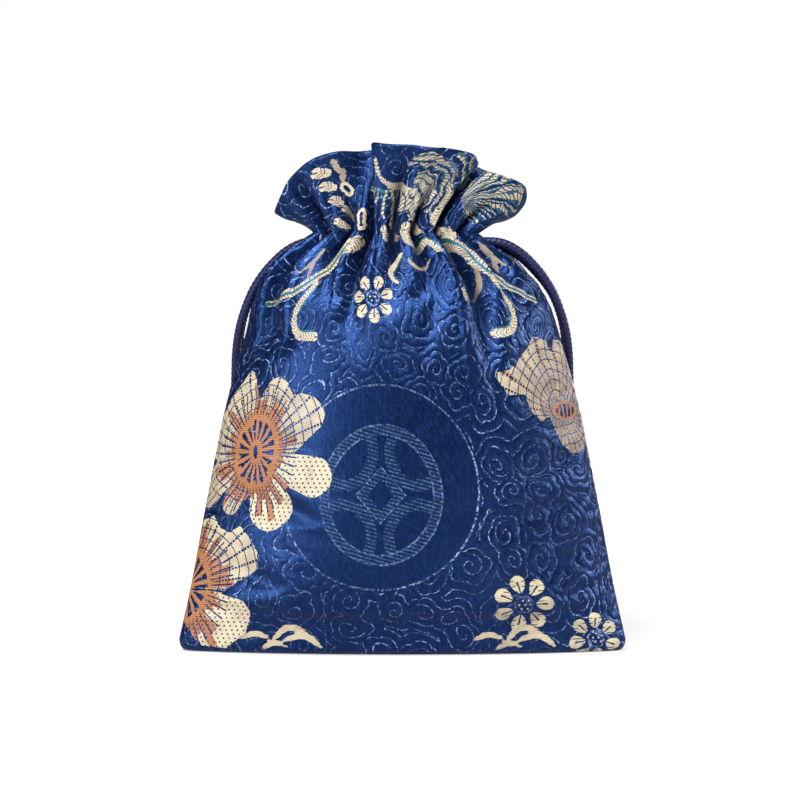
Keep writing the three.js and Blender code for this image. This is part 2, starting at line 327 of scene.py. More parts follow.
def addMesh(name, points, faces):
    mesh = bpy.data.meshes.new(name)
    mesh.from_pydata((points * mm).tolist(), [], [list(dict.fromkeys(f)) for f in faces])
    mesh.validate()
    mesh.shade_smooth()
    piece = bpy.data.objects.new(name, mesh)
    bpy.context.collection.objects.link(piece)
    return piece


weaveLook = {  # the woven pattern of one panel, millimetres from its middle and from the bottom fold
    "panel": 112.0,
    "thread": 0.45,
    "featherPitch": 1.5,
    "beadPitch": 0.42,
    "hatchPitch": 0.64,
    "hatchSlant": 0.45,
    "coilPitch": 2.1,
    "scrollPitch": 2.3,
    "scrollLine": 0.14,  # half widths
    "ringLine": 0.26,
    # place, half width, half height
    "hearts": [(-40, 52, 6.4, 8.7), (-57, 17.5, 7.5, 9), (47.4, 62, 4.4, 2.1)],
    "daisies": [(29.2, 14.2, 7.6, 7.4), (47.3, 4.4, 6.9, 6.7), (-8.6, 90.4, 6.6, 6.2)],
    "ring": (-5.8, 43.6, 25.2),
    "roundel": (-5.4, 41.8, 15.6, 17.4),
    "scrollCell": 10.0,
    "navy": (0.0007, 0.0030, 0.018),
    "navyLight": (0.0030, 0.0115, 0.062),
    "threadGlint": (0.010, 0.038, 0.16),
    # colour of painted glints on single satin threads
    "scrollBlue": (0.36, 0.48, 0.80),
    "steel": (0.12, 0.21, 0.36),
    "cream": (0.87, 0.75, 0.46),
    "tan": (0.36, 0.27, 0.165),
    "orange": (0.60, 0.25, 0.045),
    "teal": (0.035, 0.15, 0.125),
    "satin": {"Sheen Weight": 0.05, "Sheen Roughness": 0.4, "Sheen Tint": (0.2, 0.35, 0.9, 1), "IOR": 1.6,
              "Specular IOR Level": 0.9, "Specular Tint": (0.12, 0.31, 1.0, 1)},
}
# how a motif's threads are tied down
barbed, dotted, laddered, cored, hollow, plain, plumed, coiled = range(8)
sprig = [  # one spray of leaves
    ([(-7, 4.8), (-3.5, 6.2), (0.4, 4.8)], 0.8, 0.7, plain, 0.3, 0),
    ([(1, 4.6), (3.6, 7.4), (9, 7.4)], 0.9, 0.8, plain, 0.3, 0),
    ([(3.8, 4.6), (8.4, 5.8), (13.4, 2.4)], 1, 0.8, plain, 0.2, 0),
    ([(-2, 2.4), (1.8, 3.8), (4.8, 2.8)], 0.8, 0.7, plain, 0.35, 0),
]
# points along it, half width at its root and tip, threads, tone from cream to tan, side of a teal edge
motifs = [
    ([(-34, 49), (-23, 46.2)], 3, 5, dotted, 0, 0),  # large flower on the left
    ([(-37, 45), (-34.4, 38.4)], 4.6, 6, dotted, 0, 0),
    ([(-43, 46), (-45.8, 38.6)], 3.6, 2.6, laddered, 0.3, 0),
    ([(-47, 49), (-54, 42)], 4, 4.6, laddered, 0.3, 0),
    ([(-23, 106.5), (-25, 100), (-29.5, 96.5), (-34, 93), (-45.5, 89)], 1.7, 0.9, cored, 0.1, 0),  # shoulder
    ([(-28.5, 94.5), (-32, 90), (-33.6, 87), (-34, 83.4), (-32, 81.2), (-26.5, 80.6)],
     0.7, 1.1, barbed, 0, 1),
    ([(-34, 105), (-34, 100.5), (-37, 96.5)], 0.7, 0.4, plain, 0.9, 0),
    ([(-33.5, 100.5), (-32.5, 96)], 0.6, 0.6, plain, 0.9, 0),
    ([(29.5, 108), (31.3, 104), (31, 100.4), (32.5, 96.7), (37.3, 94), (46, 90)],
     1.7, 0.9, cored, 0.1, 0),  # right shoulder
    ([(32.5, 94.5), (34.7, 90), (35.4, 87), (34.4, 83.4), (32, 81.6), (28.6, 81.5)],
     0.7, 1.1, barbed, 0, -1),
    ([(20.4, 92.4), (20.8, 90)], 0.6, 0.8, barbed, 0.4, 0),
    ([(30.2, 101), (29.6, 96.5), (28, 92.6), (23.4, 89.6)], 0.6, 0.6, plain, 0.9, 0),
    ([(45, 107), (44, 102), (44.7, 98.5)], 0.7, 0.4, plain, 0.9, 0),
    ([(44.4, 103), (41, 99.6), (37.8, 97.8)], 0.6, 0.5, plain, 0.9, 0),
    ([(30, 107.6), (33.4, 110.4), (31.6, 113)], 1, 0.8, barbed, 0, 1),
    ([(3, 103.2), (-0.8, 100.4), (-2.6, 97.6), (-0.4, 95), (1.4, 94)], 1.3, 0.6, plain, 0.1, 1),  # neck
    ([(5.4, 112.4), (6.2, 107.6), (12, 106.4), (17.2, 106.8), (19, 104)], 1.3, 0.9, barbed, 0, 1),
    ([(4.6, 103), (5.4, 100.4), (8, 98.8), (12, 100), (15.2, 102.2)], 0.6, 0.5, plain, 0.8, 0),
    ([(-22, 115.2), (-21.4, 112.6)], 1.25, 1.1, hollow, 0, 0),
    ([(-35.4, 114.4), (-32, 112.4)], 0.9, 0.7, barbed, 0.1, 0),
    ([(-21.4, 104), (-20, 108)], 1.5, 1.2, barbed, 0, 0),
    ([(-36.6, 127.4), (-35, 126.6)], 1.1, 1.1, barbed, 0.1, 0),  # left lobe of the frill
    ([(-36, 123.6), (-34.2, 122.8)], 1.1, 1.1, barbed, 0.05, 0),
    ([(-34.8, 119.8), (-33, 118.8)], 1.1, 1.1, barbed, 0.3, 0),
    ([(-31.4, 117), (-27.4, 114.4)], 0.9, 0.8, barbed, 0.1, 0),
    ([(-30, 122.2), (-28.4, 121)], 1.25, 1.2, hollow, 0, 0),
    ([(-32.4, 129.4), (-31.2, 125.8)], 0.6, 0.5, plain, 0.9, 0),
    ([(-30, 126.4), (-30.6, 122.8)], 0.8, 0.4, plain, 1, 0),
    ([(-10.6, 126.6), (-9.3, 123.4), (-6, 121.2), (0, 120.4), (4.6, 120)],
     0.4, 0.8, barbed, 0.1, 0),  # middle lobe
    ([(-20, 120.4), (-9.3, 119.2), (-2.7, 119), (4, 119.6)], 0.3, 0.3, plain, 0.5, 1),
    ([(18.7, 122), (18.4, 118.6), (18.8, 115.4), (24, 113.2), (28.8, 112.2), (30.8, 110)],
     1.1, 0.8, barbed, 0.05, 1),
    ([(6.6, 118.4), (6.8, 115.6), (9.6, 113.6), (16.6, 110.8)], 0.8, 0.8, barbed, 0, 0),
    ([(-3.4, 113), (-0.4, 111), (2, 109)], 1.1, 0.8, barbed, 0, 0),
    ([(-7.4, 111.8), (-6, 108.2)], 0.9, 0.7, barbed, 0.1, 0),
]
petals = [  # outline of a group of petals, foot and tip of its middle vein, threads, tone
    ([(-41.3, 64.5), (-42.6, 68.5), (-44.6, 71.6), (-46.6, 72), (-48, 69.4), (-50.6, 66.6), (-53, 62),
      (-56, 60), (-56, 50), (-45, 48), (-36, 49), (-29, 51.6), (-25.4, 55.2), (-21.4, 58.6), (-20.6, 61.6),
      (-22, 64), (-24.6, 66), (-28, 66.6), (-30.6, 66.2), (-32.6, 69.4), (-35.4, 71.2), (-38.8, 69)],
     (-40, 52), (-37, 71), laddered, 0.3),
    ([(-56, 34), (-50.8, 35.6), (-48, 32.4), (-45, 31.6), (-42.2, 33.6), (-39.4, 30.8), (-36.6, 27),
      (-36.4, 23), (-40, 20.2), (-45.4, 16.8), (-50, 17.8), (-56, 16.6)],
     (-57, 17.5), (-43, 28), laddered, 0.25),
    ([(-56, 16), (-50, 17), (-45, 16), (-38.8, 14.6), (-37, 11.6), (-38, 6), (-42.8, 2.2), (-49.4, 2.6),
      (-54, 7), (-56, 9)], (-57, 17.5), (-42, 8), dotted, 0),
    ([(40.4, 80.6), (45.4, 80), (47.4, 76.6), (49.4, 79.8), (53.6, 79.4), (56, 72), (56, 56), (53.6, 54.4),
      (52, 51.6), (47.6, 51.4), (44.6, 53.6), (41.4, 60.8), (38.8, 59.4), (36.6, 61.6), (34.6, 66.4),
      (30, 66), (27.6, 68.8), (26.8, 71.6), (31, 72.2), (34.6, 75), (38, 78)],
     (46, 61), (43, 80), laddered, 0.45),
    ([(0, 123.4), (-0.6, 126.3), (1.2, 129), (3.4, 130), (7.4, 128.8), (13, 126.4), (18.6, 124),
      (19.4, 118.6), (16.8, 115.4), (8.4, 117), (5, 120.4), (3.4, 122), (3.4, 124.4), (4, 125.8),
      (2.2, 126.8), (0.6, 125.8)], (3.9, 118.6), (3.9, 130), coiled, 0.05),  # plumes of the frill
    ([(9, 129.6), (10.4, 131), (15, 131), (18, 130), (28, 128.2), (28.4, 124.4), (15, 125.8), (10, 127.7)],
     (29, 122.9), (15, 128), plumed, 0.1),
    ([(-20.6, 121.4), (-7.8, 120), (-3.4, 119.6), (3.9, 121), (6.2, 118.6), (9, 115), (6.2, 114), (3.9, 116),
      (-5, 113.6), (-7.4, 114), (-10, 117)], (-5, 127), (-5, 115), plumed, 0),
    ([(30.2, 122), (29.2, 127.6), (30.2, 131), (36, 131), (42, 131), (48, 128.4), (51.4, 127.6), (51.4, 125),
      (46.4, 121.4), (44.8, 118), (44, 115.2), (36, 117), (33, 119)], (29.6, 121), (44, 124), plumed, 0.05),
]
for sprayX in (-32, 24):
    motifs += [([(px + sprayX, pt) for px, pt in line], *rest) for line, *rest in sprig]


def mark(fields, found, **values):
    for name, value in values.items():
        fields[name][found] = value


# for each point: gap to the nearest motif, place along and across it, threads, tone, gap to a teal edge
def motifFields(x, t):
    fields = {"motif": np.full(len(x), 9.0), "teal": np.full(len(x), 9.0)}
    fields.update({name: np.zeros(len(x)) for name in ("along", "across", "threads", "tone")})
    squeeze = 1 - 0.36 * smoothStep(92, 112, t)  # the drawn cloth shows narrower than it is
    for line, root, tip, threads, tone, side in motifs:
        line = np.array(line, float)
        way = np.concatenate([[0], np.cumsum(np.linalg.norm(np.diff(line, axis=0), axis=1))])
        place = np.linspace(0, way[-1], 40)
        if len(line) > 2:
            dots = np.column_stack([smoothThrough(place, list(zip(way, line[:, k]))) for k in (0, 1)])
        else:
            dots = line[0] + (line[1] - line[0]) * (place / way[-1])[:, None]
        share = place / way[-1]
        half = root + (tip - root) * share
        if threads == plain:
            half = half * np.sqrt(np.clip(4 * share * (1 - share), 0.1, 1))
        ahead = np.gradient(dots, axis=0)
        ahead /= np.linalg.norm(ahead, axis=1, keepdims=True)
        near = np.where((x > dots[:, 0].min() - 12) & (x < dots[:, 0].max() + 12)
                        & (t > dots[:, 1].min() - 8) & (t < dots[:, 1].max() + 8))[0]
        if not len(near):
            continue
        dx = (x[near, None] - dots[None, :, 0]) * squeeze[near, None]
        dy = t[near, None] - dots[None, :, 1]
        gaps = np.hypot(dx, dy) - half
        pick = gaps.argmin(1)
        rows = np.arange(len(near))
        gap = gaps[rows, pick]
        across = ahead[pick, 0] * dy[rows, pick] - ahead[pick, 1] * dx[rows, pick]
        closer = gap < fields["motif"][near]
        mark(fields, near[closer], motif=gap[closer], along=place[pick][closer], across=across[closer],
             threads=threads, tone=tone)
        if side:
            edge = np.abs(side * across - half[pick] - 0.2) - 0.3
            edge = np.where((pick > 0) & (pick < 39), edge, 9.0)
            fields["teal"][near] = np.minimum(fields["teal"][near], edge)
    for outline, foot, tip, threads, tone in petals:
        outline, foot, tip = (np.array(p, float) for p in (outline, foot, tip))
        gap = np.full(len(x), 99.0)
        inside = np.zeros(len(x), bool)
        for (ax, at), (bx, bt) in zip(outline, np.roll(outline, -1, 0)):
            wide, tall = bx - ax, bt - at
            share = np.clip(((x - ax) * wide + (t - at) * tall) / (wide**2 + tall**2), 0, 1)
            gap = np.minimum(gap, np.hypot(x - ax - share * wide, t - at - share * tall))
            if at != bt:
                inside ^= ((at > t) != (bt > t)) & (x < ax + (t - at) / tall * wide)
        gap = np.where(inside, -gap, gap)
        found = gap < fields["motif"]
        fromX, fromT = (x - foot[0]) * squeeze, t - foot[1]
        reach = np.hypot(fromX, fromT)
        turn = np.arctan2(fromT, fromX) - math.atan2(tip[1] - foot[1], tip[0] - foot[0])
        turn = 9 * (np.mod(turn + math.pi, 2 * math.pi) - math.pi)
        if threads == coiled:  # its feathers run round the foot, not out of it
            reach, turn = turn, reach
        mark(fields, found, motif=gap[found], along=reach[found], across=turn[found],
             threads=threads, tone=tone)
    return fields


def shaderTools(tree):
    nodes, links = tree.nodes, tree.links

    def put(socket, value):
        if isinstance(value, bpy.types.NodeSocket):
            links.new(value, socket)
        else:
            socket.default_value = value

    def num(kind, *values):
        node = nodes.new("ShaderNodeMath")
        node.operation = kind
        for socket, value in zip(node.inputs, values):
            put(socket, value)
        return node.outputs[0]

    def blend(share, low, high):  # numbers
        node = nodes.new("ShaderNodeMix")
        for socket, value in zip((node.inputs[0], node.inputs[2], node.inputs[3]), (share, low, high)):
            put(socket, value)
        return node.outputs[0]

    def tint(share, low, high):  # colours
        node = nodes.new("ShaderNodeMix")
        node.data_type = "RGBA"
        for socket, value in zip((node.inputs[0], node.inputs[6], node.inputs[7]), (share, low, high)):
            put(socket, (*value, 1) if isinstance(value, tuple) else value)
        return node.outputs[2]

    def spread(low, high, value):  # 0 below low, 1 above high, smooth between
        node = nodes.new("ShaderNodeMapRange")
        node.interpolation_type = "SMOOTHSTEP"
        for socket, given in zip(node.inputs, (value, low, high)):
            put(socket, given)
        return node.outputs[0]

    def chance(value):  # a fixed random number for each whole number
        node = nodes.new("ShaderNodeTexWhiteNoise")
        node.noise_dimensions = "1D"
        put(node.inputs["W"], value)
        return node.outputs["Value"]

    def join(x, y, z=0.0):
        node = nodes.new("ShaderNodeCombineXYZ")
        for socket, value in zip(node.inputs, (x, y, z)):
            put(socket, value)
        return node.outputs[0]

    def cloud(place, scale, detail=2.0, rough=0.5):
        node = nodes.new("ShaderNodeTexNoise")
        put(node.inputs["Vector"], place)
        for name, value in (("Scale", scale), ("Detail", detail), ("Roughness", rough)):
            put(node.inputs[name], value)
        return node.outputs["Fac"]

    def bumps(height, strength, distance):
        node = nodes.new("ShaderNodeBump")
        for name, value in (("Strength", strength), ("Distance", distance), ("Height", height)):
            put(node.inputs[name], value)
        return node.outputs[0]

    return put, num, blend, tint, spread, chance, join, cloud, bumps


def nearest(num, blend, x, t, places):  # of some round motifs: distance in radii, angle, offset, number
    for i, (px, pt, wide, tall) in enumerate(places):
        dx = num("DIVIDE", num("SUBTRACT", x, px), wide)
        dy = num("DIVIDE", num("SUBTRACT", t, pt), tall)
        far = num("ADD", num("MULTIPLY", dx, dx), num("MULTIPLY", dy, dy))
        if i == 0:
            best = [far, dx, dy, 0.0]
        else:
            closer = num("LESS_THAN", far, best[0])
            best = [blend(closer, old, new) for old, new in zip(best, (far, dx, dy, float(i)))]
    far, dx, dy, number = best
    return num("SQRT", far), num("ADD", num("ARCTAN2", dy, dx), math.pi), dx, dy, number


def newMaterial(name):
    material = bpy.data.materials.new(name)
    material.use_nodes = True
    return material, material.node_tree, material.node_tree.nodes["Principled BSDF"]


def brocadeMaterial(look):
    material, tree, shader = newMaterial("brocade")
    put, num, blend, tint, spread, chance, join, cloud, bumps = shaderTools(tree)
    kinds = ("MULTIPLY", "MAXIMUM", "LESS_THAN", "GREATER_THAN", "ADD", "SUBTRACT")
    both, either, less, more, plus, minus = (partial(num, kind) for kind in kinds)

    def within(value, low, high):
        return both(more(value, low), less(value, high))

    def without(a, b):
        return both(a, minus(1.0, b))

    def length(a, b):
        return num("SQRT", plus(both(a, a), both(b, b)))

    def repeat(value, pitch):  # runs from 0 to 1 in each repeat
        return num("FRACT", num("DIVIDE", value, pitch))

    def whole(value, pitch):  # counts the repeats
        return num("FLOOR", num("DIVIDE", value, pitch))

    def offMiddle(value, pitch):  # 0 in the middle of each repeat, 0.5 at its ends
        return num("ABSOLUTE", minus(repeat(value, pitch), 0.5))

    def stored(name):
        node = tree.nodes.new("ShaderNodeAttribute")
        node.attribute_name = name
        return node.outputs["Fac"]

    def isKind(value, kind):
        return num("COMPARE", value, float(kind), 0.45)

    def onLine(value, middle, half):
        return less(num("ABSOLUTE", minus(value, middle)), half)

    # place on the flat cloth, with ragged edges from thread to thread
    sheet = tree.nodes.new("ShaderNodeUVMap")
    sheet.uv_map = "cloth"
    split = tree.nodes.new("ShaderNodeSeparateXYZ")
    tree.links.new(sheet.outputs[0], split.inputs[0])
    around = both(split.outputs[0], 100.0)
    t = both(split.outputs[1], 100.0)
    x = minus(num("MODULO", around, look["panel"]), look["panel"] / 2)
    flat = join(x, t)
    rib = repeat(t, look["thread"])
    shake = minus(chance(whole(t, look["thread"])), 0.5)
    ragged = plus(x, both(shake, 0.2))

    # the stored motifs and the threads that tie their floss down
    gap = plus(stored("motif"), both(shake, 0.26))
    along, across, threads, tone = (stored(name) for name in ("along", "across", "threads", "tone"))
    inside = less(gap, 0.0)
    stagger = num("FRACT", plus(num("DIVIDE", x, 1.5), both(whole(t, 1.05), 0.37)))
    dots = both(onLine(stagger, 0.5, 0.15), less(offMiddle(t, 1.05), 0.2))
    fromVein = num("ABSOLUTE", across)
    rungs = less(offMiddle(plus(along, both(fromVein, 0.25)), 2.6), 0.05)
    veins = both(less(offMiddle(across, 1.7), 0.09), more(offMiddle(along, 0.9), 0.14))
    barbs = both(more(offMiddle(plus(along, both(fromVein, 0.7)), 0.85), 0.38), more(gap, -1.3))
    bore = both(isKind(threads, hollow), less(gap, -0.75))
    core = both(both(isKind(threads, cored), inside), less(fromVein, 0.36))
    tied = both(isKind(threads, dotted), dots)
    tied = plus(tied, both(isKind(threads, laddered), either(rungs, veins)))
    tied = plus(tied, both(either(isKind(threads, barbed), isKind(threads, cored)), barbs))
    petal = either(isKind(threads, dotted), isKind(threads, laddered))
    plume = more(threads, plain + 0.5)
    wavy = plus(across, both(minus(cloud(flat, 0.3, 1.0), 0.5), 3.0))
    feather = repeat(wavy, look["featherPitch"])  # floss, a gap, teal and a gap
    featherLuck = chance(whole(wavy, look["featherPitch"]))
    quill = more(offMiddle(plus(along, both(feather, 1.4)), 0.9), 0.36)
    tied = plus(tied, both(plume, either(more(feather, plus(0.22, both(featherLuck, 0.54))), quill)))

    # hearts of the large flowers
    far, angle, dx, dy, number = nearest(num, blend, ragged, t, look["hearts"])
    ray = chance(plus(num("FLOOR", both(angle, 7.6)), both(number, 60.0)))
    small = isKind(number, 2)
    heartEdge = plus(blend(small, 1.18, 1.0), both(num("POWER", ray, 2.0), blend(small, 1.1, 0.3)))
    heart = both(less(far, heartEdge), petal)
    wedge = both(within(far, 0.34, plus(0.8, both(ray, 0.16))),
                 less(offMiddle(angle, 2 * math.pi / 17), plus(0.1, both(far, 0.22))))
    pip = less(length(num("DIVIDE", dx, 0.1), num("DIVIDE", dy, 0.2)), 1.0)
    bars = both(less(far, 0.78), less(offMiddle(x, 1.5), 0.3))  # the small heart on the right
    hole = blend(small, either(wedge, pip), bars)
    rayGap = both(within(far, 1.05, 1.9), less(offMiddle(angle, 2 * math.pi / 46), 0.1))
    tied = either(both(tied, more(far, 1.12)), both(either(hole, rayGap), petal))

    # daisies
    farD, angleD, _, _, numberD = nearest(num, blend, ragged, t, look["daisies"])
    petalD = both(offMiddle(plus(angleD, both(numberD, 0.3)), 2 * math.pi / 7), 2.0)
    slot = both(less(petalD, 0.1), less(farD, 0.8))
    daisy = less(length(num("DIVIDE", minus(farD, 0.71), 0.3), num("DIVIDE", petalD, 0.74)), 1.0)
    daisy = without(without(daisy, slot), both(less(offMiddle(t, 1.3), 0.09), more(petalD, 0.35)))
    eye = both(less(farD, 0.24), dots)
    eyeRing = within(farD, 0.25, 0.33)

    # where the floss of each colour lies
    cream = without(without(inside, tied), either(bore, core))
    cream = either(either(cream, daisy), eye)
    teal = either(less(plus(stored("teal"), both(shake, 0.3)), 0.0), core)
    teal = without(either(teal, both(both(plume, inside), within(feather, 0.8, 0.94))), cream)
    gold = without(both(heart, inside), hole)

    # ring and medallion
    ringX, ringT, ringR = look["ring"]
    fromRing = length(minus(x, ringX), minus(t, ringT))
    ringLine = onLine(fromRing, ringR, look["ringLine"])
    field = more(fromRing, ringR + 0.7)
    discX, discT, discW, discH = look["roundel"]
    ux, ut = num("DIVIDE", minus(x, discX), discW), num("DIVIDE", minus(t, discT), discH)
    fromDisc = length(ux, ut)
    foldX, foldT = num("ABSOLUTE", ux), num("ABSOLUTE", ut)
    lobes = both(within(length(minus(foldX, 0.6), minus(foldT, 0.6)), 0.38, 0.55), less(fromDisc, 0.84))
    diamond = within(plus(foldX, foldT), 0.22, 0.4)
    fret = either(either(within(fromDisc, 0.84, 1.0), lobes), diamond)
    fretEdge = either(onLine(fromDisc, 0.99, 0.014), onLine(fromDisc, 0.85, 0.014))
    fretEdge = either(fretEdge, onLine(plus(foldX, foldT), 0.4, 0.016))

    # cloud scrolls: a coil in each cell of a loose net and scalloped lines round it
    swayX = both(minus(cloud(join(x, t, 3.0), 0.06, 1.0), 0.5), 9.0)
    swayT = both(minus(cloud(join(x, t, 9.0), 0.06, 1.0), 0.5), 9.0)
    px, pt = plus(around, swayX), plus(t, swayT)
    cell = tree.nodes.new("ShaderNodeTexVoronoi")
    cell.voronoi_dimensions = "2D"
    put(cell.inputs["Scale"], 1 / look["scrollCell"])
    put(cell.inputs["Randomness"], 0.7)
    put(cell.inputs["Vector"], join(px, pt))
    centre = tree.nodes.new("ShaderNodeSeparateXYZ")
    tree.links.new(cell.outputs["Position"], centre.inputs[0])
    luck = tree.nodes.new("ShaderNodeSeparateColor")
    tree.links.new(cell.outputs["Color"], luck.inputs[0])
    sx, st = minus(px, centre.outputs[0]), minus(pt, centre.outputs[1])
    bearing = num("ARCTAN2", st, sx)
    scallop = both(num("ABSOLUTE", num("SINE", plus(both(bearing, 2.5), both(luck.outputs[2], 6.0)))), 0.8)
    curlR = length(sx, st)
    hand = num("SIGN", minus(luck.outputs[0], 0.5))
    turn = plus(both(bearing, both(hand, 1 / (2 * math.pi))), luck.outputs[1])
    coilPitch, scrollPitch, beadPitch = (look[name] for name in ("coilPitch", "scrollPitch", "beadPitch"))
    coil = num("ABSOLUTE", minus(num("FRACT", minus(num("DIVIDE", curlR, coilPitch), turn)), 0.5))
    coilGap = blend(within(curlR, 0.5, 3.0), 2.0, both(coil, coilPitch))
    frond = offMiddle(minus(minus(curlR, scallop), 0.4), scrollPitch)
    frondGap = blend(more(curlR, 2.5), 2.0, both(frond, scrollPitch))
    scrollGap = num("MINIMUM", coilGap, frondGap)
    bead = chance(plus(whole(x, beadPitch), both(whole(t, beadPitch), 57.0)))
    beaded = both(blend(spread(0.45, 0.75, bead), 0.13, 1.0), spread(0.34, 0.46, cloud(flat, 0.9, 1.0)))
    scroll = both(less(scrollGap, look["scrollLine"]), field)
    strand = both(either(either(scroll, ringLine), either(eyeRing, both(fretEdge, 0.4))), beaded)
    pillow = both(spread(0.1, 0.9, scrollGap), field)

    # satin ground with its slanting threads, medallion, scrolls and teal edges
    slant = plus(x, both(t, look["hatchSlant"]))
    speck = cloud(join(both(slant, 1.6), both(minus(t, x), 0.3), 5.0), 1.9, 2.0, 0.7)
    ground = tint(spread(0.3, 0.75, speck), look["navy"], look["navyLight"])
    hatch = less(repeat(slant, look["hatchPitch"]), 0.4)
    ground = tint(both(hatch, 0.55), ground, tuple(0.5 * v for v in look["navy"]))
    # painted glints: random single threads are painted a brighter blue, for the sparkle of the satin
    glintDash = chance(plus(whole(slant, 0.3), both(whole(t, 0.9), 91.0)))
    ground = tint(both(spread(0.6, 1.0, glintDash), 0.45), ground, look["threadGlint"])
    stripes = less(repeat(plus(t, both(x, 0.28)), 0.95), 0.5)
    fretShare = both(both(fret, stripes), plus(0.14, both(spread(0.3, 0.9, bead), 0.46)))
    ground = tint(fretShare, ground, look["steel"])
    glint = spread(0.4, 0.65, cloud(join(x, t, 20.0), 0.04))
    ground = tint(both(strand, blend(glint, 0.35, 1.0)), ground, look["scrollBlue"])
    ground = tint(teal, ground, look["teal"])

    # floss, from cream to tan, and the gold of the hearts
    twill = repeat(plus(t, both(x, 0.3)), 0.62)
    fade = plus(both(less(twill, 0.3), 0.4), both(spread(0.4, 0.7, cloud(flat, 0.22)), 0.3))
    deeper = blend(petal, 0.8, plus(0.4, spread(22.0, 9.0, along)))  # petals darken towards the heart
    fade = plus(fade, both(plume, both(num("FRACT", both(featherLuck, 7.0)), 0.4)))
    floss = tint(num("MINIMUM", plus(fade, both(tone, deeper)), 1.0), look["cream"], look["tan"])
    streak = both(isKind(threads, laddered), more(tone, 0.36))
    streak = both(streak, less(offMiddle(plus(across, 0.9), 3.4), 0.1))
    gold = either(gold, both(streak, more(offMiddle(along, 0.9), 0.12)))
    floss = tint(gold, floss, tint(less(rib, 0.34), look["orange"], tuple(0.45 * v for v in look["orange"])))

    paintedPleatShade = spread(0.12, 0.8, stored("fold"))  # painted shade: the bottoms of the pleats are painted darker and made rougher, for the shade that deeper folds would hold
    woven = tint(cream, ground, floss)
    # painted shade: the pleat bottoms are tinted towards a darker navy
    put(shader.inputs["Base Color"], tint(both(paintedPleatShade, 0.8), woven, tuple(0.3 * v for v in look["navy"])))
    put(shader.inputs["Roughness"], blend(paintedPleatShade, blend(cream, plus(0.22, both(speck, 0.16)), 0.6), 0.85))
    relief = plus(both(cream, 0.8), both(strand, 0.25))
    relief = plus(relief, both(pillow, plus(0.25, both(spread(-10.0, 40.0, x), 0.5))))
    relief = plus(relief, both(plus(both(speck, 0.8), both(hatch, -0.3)), 0.6))
    put(shader.inputs["Normal"], bumps(relief, 0.6, 0.0003))
    for name, value in look["satin"].items():
        put(shader.inputs[name], value)
    return material


def wrongSideMaterial():
    material, tree, shader = newMaterial("brocadeWrongSide")
    put, _, _, tint, spread, _, _, cloud, _ = shaderTools(tree)
    place = tree.nodes.new("ShaderNodeTexCoord")
    grain = cloud(place.outputs["Object"], 900.0, 2.0, 0.7)
    dark, light = (0.012, 0.022, 0.075), (0.03, 0.05, 0.13)
    put(shader.inputs["Base Color"], tint(spread(0.35, 0.7, grain), dark, light))
    put(shader.inputs["Roughness"], 0.65)
    return material


points, faces, steps, insideFrom, clothRun, folds = pouchMesh(pouchLook)
pouch = addMesh("brocadePouch", points, faces.tolist())
mesh = pouch.data
vertex = np.zeros(len(mesh.loops), np.int32)
mesh.loops.foreach_get("vertex_index", vertex)
column, row = vertex % steps, vertex // steps
totals = np.zeros(len(mesh.polygons), np.int32)
mesh.polygons.foreach_get("loop_total", totals)
owner = np.repeat(np.arange(len(totals)), totals)
widest = np.zeros(len(totals), np.int32)
np.maximum.at(widest, owner, column)
column = np.where((column == 0) & (widest[owner] == steps - 1), steps, column)  # the sewn right edge
uv = np.column_stack([column / steps * pouchLook["girth"] / 100, clothRun[row] / 100])
mesh.uv_layers.new(name="cloth").data.foreach_set("uv", uv.ravel())
panel = weaveLook["panel"]
place = np.arange(len(points))
panelX = np.mod(place % steps / steps * pouchLook["girth"], panel) - panel / 2
fields = motifFields(panelX, clothRun[place // steps])
for name, values in (*fields.items(), ("fold", folds)):
    mesh.attributes.new(name, "FLOAT", "POINT").data.foreach_set("value", values.astype(np.float32))
mesh.materials.append(brocadeMaterial(weaveLook))
mesh.materials.append(wrongSideMaterial())
lowest = np.full(len(totals), 10**6)
np.minimum.at(lowest, owner, row)
mesh.polygons.foreach_set("material_index", (lowest >= insideFrom).astype(np.int32))
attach(pouch, "root")
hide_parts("pouch")
print("pouch made", len(points), len(faces))

cordLook = {  # millimetres unless said
    "diameter": 2.2,
    "sides": 20,
    "step": 0.22,
    "strands": 4,
    "lay": 5.2,
    "colour": (0.020, 0.021, 0.078),
    "casingHalfWidth": 18.2,  # where the strands leave the casing
    "casingHeights": {-1: 104.75, 1: 102.25},  # the left cord lies above the right one
    "mouthHeight": 102.25,
    "strandApart": 1.6,  # from the middle plane
    "knotSize": (0.72, 0.72, 0.85),
}
frontStrand = [
    (24.3, -1.8, 102.1), (28.6, -1.6, 100.2), (33.4, -1.2, 95.8), (37.1, -0.5, 90.5), (39.4, 0.8, 85.2),
    (40.9, 2.6, 80), (41.7, 4.8, 74.6), (42, 7, 68.6), (42.2, 8.8, 61.5), (42.5, 10, 51),
    (42.8, 10.7, 39), (43.1, 11.2, 28), (43.3, 11.6, 20), (43.3, 11.8, 14.5), (42.5, 11.4, 6),
]
backStrand = [
    (23.9, 1.8, 101.6), (28.3, 2.4, 99.3), (33.2, 2.9, 94.9), (37.3, 3.5, 89.6), (39.5, 4.7, 84.4),
    (40.7, 6.5, 79.2), (41, 8.6, 73.8), (40.8, 10.6, 67.8), (41, 12.1, 60.8), (41.4, 13.2, 51),
    (41.9, 13.8, 39), (42.5, 14.1, 28), (43.2, 13.9, 20), (43.8, 13.3, 14.5), (44.8, 13.5, 5.4),
]


